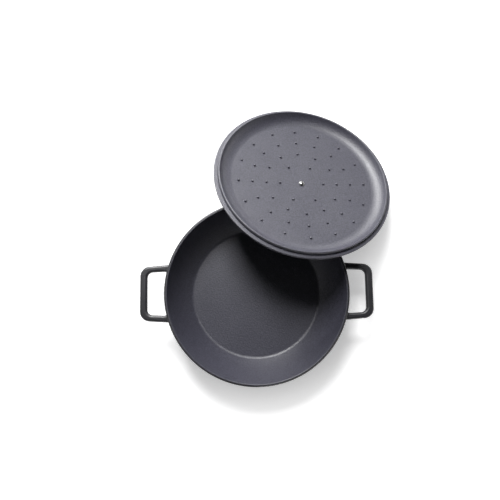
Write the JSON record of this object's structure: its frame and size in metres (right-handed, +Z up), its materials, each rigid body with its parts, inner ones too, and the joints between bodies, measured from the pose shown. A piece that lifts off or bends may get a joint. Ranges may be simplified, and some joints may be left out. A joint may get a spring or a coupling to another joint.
{
  "type": "cast iron appetizer pan",
  "caption": "Shallow round black cast iron pan with flared walls and two loop handles, and a domed lid with basting nubs leaning underside up on its rim.",
  "frame": {"origin": "centre of the pan's flat base, on the table", "axes": "+Z up out of the pan's mouth, X through both loop handles, +Y towards the side the lid leans out over"},
  "size_m": [0.404, 0.4593, 0.1225],
  "materials": {
    "pan_iron": "matte black enamel",
    "lid_iron": "matte black enamel",
    "knob_iron": "matte black enamel",
    "washer_rubber": "matte",
    "screw_steel": "bright"
  },
  "bodies": {
    "pan": {"pan": "pan_iron"},
    "lid": {"lid": "lid_iron", "knob": "knob_iron", "knob_washer": "washer_rubber", "knob_screw": "screw_steel"}
  },
  "joints": [
    {"name": "lid_lift", "type": "slide", "parent": "pan", "child": "lid", "axis": [0, 0, 1], "range_m": [0, 0.25]}
  ]
}
